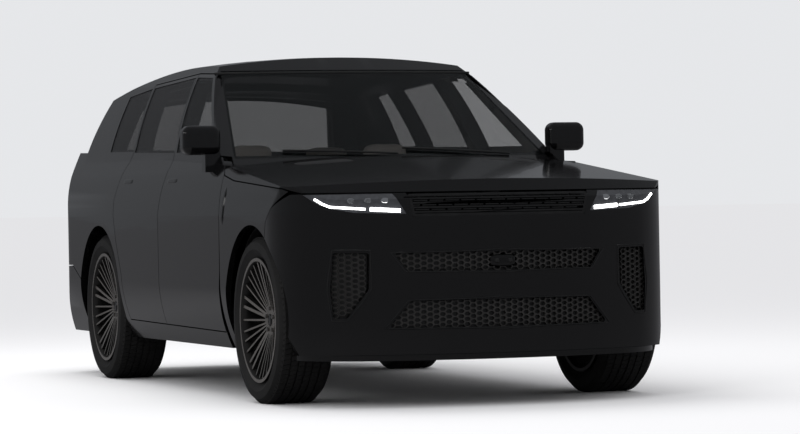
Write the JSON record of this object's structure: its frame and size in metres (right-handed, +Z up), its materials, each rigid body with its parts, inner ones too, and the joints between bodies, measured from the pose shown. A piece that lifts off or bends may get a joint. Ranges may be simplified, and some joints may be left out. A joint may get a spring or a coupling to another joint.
{
  "type": "sport utility vehicle",
  "caption": "Large five-door sport utility vehicle with clamshell bonnet, slim lamps, opening doors and tailgate, steered front wheels and furnished cabin.",
  "frame": {"origin": "on the ground, midway between the bumpers and the sides", "axes": "+Z up, the front faces -Y, +X is the vehicle's left"},
  "size_m": [2.2, 4.9598, 1.769],
  "materials": {
    "paint": "gloss dark grey",
    "glass": "tinted",
    "black_gloss": "gloss black",
    "lamp": "clear over dark",
    "black_trim": "gloss black",
    "structure": "black underseal",
    "tyre": "matt",
    "alloy": "satin dark grey, machined edges",
    "iron": "matt",
    "engine": "cast",
    "exhaust": "satin",
    "hide": "pale hide",
    "dash": "soft touch black"
  },
  "bodies": {
    "body": {"body_shell": "paint", "front_wings": "paint", "front_bumper": "paint", "rear_bumper": "paint", "roof": "black_gloss", "roof_glass": "glass", "windscreen": "glass", "quarter_glasses": "glass", "headlamps": "lamp", "tail_lamps": "lamp", "front_grille": "black_trim", "bumper_meshes": "black_trim", "front_splitter": "black_trim", "front_structure": "structure", "floor_pan": "structure", "engine_block": "engine", "exhaust": "exhaust", "front_suspension": "iron", "rear_suspension": "iron", "front_seats": "hide", "rear_seats": "hide", "dashboard": "dash"},
    "door_front_left": {"door_front_left": "paint", "door_front_glass_left": "glass", "mirror_left": "paint"},
    "door_front_right": {"door_front_right": "paint", "door_front_glass_right": "glass", "mirror_right": "paint"},
    "door_rear_left": {"door_rear_left": "paint", "door_rear_glass_left": "glass"},
    "door_rear_right": {"door_rear_right": "paint", "door_rear_glass_right": "glass"},
    "bonnet": {"bonnet": "paint"},
    "tailgate": {"tailgate": "paint", "tailgate_glass": "glass"},
    "steer_left": {"knuckle_left": "iron"},
    "steer_right": {"knuckle_right": "iron"},
    "wheel_front_left": {"tyre_front_left": "tyre", "wheel_front_left": "alloy"},
    "wheel_front_right": {"tyre_front_right": "tyre", "wheel_front_right": "alloy"},
    "wheel_rear_left": {"tyre_rear_left": "tyre", "wheel_rear_left": "alloy"},
    "wheel_rear_right": {"tyre_rear_right": "tyre", "wheel_rear_right": "alloy"},
    "steering_wheel": {"steering_wheel": "dash"}
  },
  "joints": [
    {"name": "door_front_left_hinge", "type": "hinge", "parent": "body", "child": "door_front_left", "pos_m": [0.988, -1.025, 0.77], "axis": [0, 0, -1], "range_deg": [0, 65]},
    {"name": "door_rear_left_hinge", "type": "hinge", "parent": "body", "child": "door_rear_left", "pos_m": [0.988, 0.135, 0.77], "axis": [0, 0, -1], "range_deg": [0, 65]},
    {"name": "door_front_right_hinge", "type": "hinge", "parent": "body", "child": "door_front_right", "pos_m": [-0.988, -1.025, 0.77], "axis": [0, 0, 1], "range_deg": [0, 65]},
    {"name": "door_rear_right_hinge", "type": "hinge", "parent": "body", "child": "door_rear_right", "pos_m": [-0.988, 0.135, 0.77], "axis": [0, 0, 1], "range_deg": [0, 65]},
    {"name": "bonnet_hinge", "type": "hinge", "parent": "body", "child": "bonnet", "pos_m": [0, -0.9, 1.204], "axis": [-1, 0, 0], "range_deg": [0, 55]},
    {"name": "tailgate_hinge", "type": "hinge", "parent": "body", "child": "tailgate", "pos_m": [0, 1.85, 1.655], "axis": [1, 0, 0], "range_deg": [0, 85]},
    {"name": "steer_left", "type": "hinge", "parent": "body", "child": "steer_left", "pos_m": [0.8, -1.605, 0.406], "axis": [0, 0, 1], "range_deg": [-32, 32]},
    {"name": "wheel_front_left_spin", "type": "hinge", "parent": "steer_left", "child": "wheel_front_left", "pos_m": [0.8425, -1.605, 0.406], "axis": [1, 0, 0], "continuous": true},
    {"name": "wheel_rear_left_spin", "type": "hinge", "parent": "body", "child": "wheel_rear_left", "pos_m": [0.8425, 1.392, 0.406], "axis": [1, 0, 0], "continuous": true},
    {"name": "steer_right", "type": "hinge", "parent": "body", "child": "steer_right", "pos_m": [-0.8, -1.605, 0.406], "axis": [0, 0, 1], "range_deg": [-32, 32]},
    {"name": "wheel_front_right_spin", "type": "hinge", "parent": "steer_right", "child": "wheel_front_right", "pos_m": [-0.8425, -1.605, 0.406], "axis": [1, 0, 0], "continuous": true},
    {"name": "wheel_rear_right_spin", "type": "hinge", "parent": "body", "child": "wheel_rear_right", "pos_m": [-0.8425, 1.392, 0.406], "axis": [1, 0, 0], "continuous": true},
    {"name": "steering_wheel_turn", "type": "hinge", "parent": "body", "child": "steering_wheel", "pos_m": [0.39, -0.43, 0.96], "axis": [0, 0.9135, 0.4067], "range_deg": [-480, 480]}
  ],
  "couplings": [
    {"joint": "steer_right", "follows": "steer_left", "ratio": 1},
    {"joint": "steering_wheel_turn", "follows": "steer_left", "ratio": 15}
  ]
}
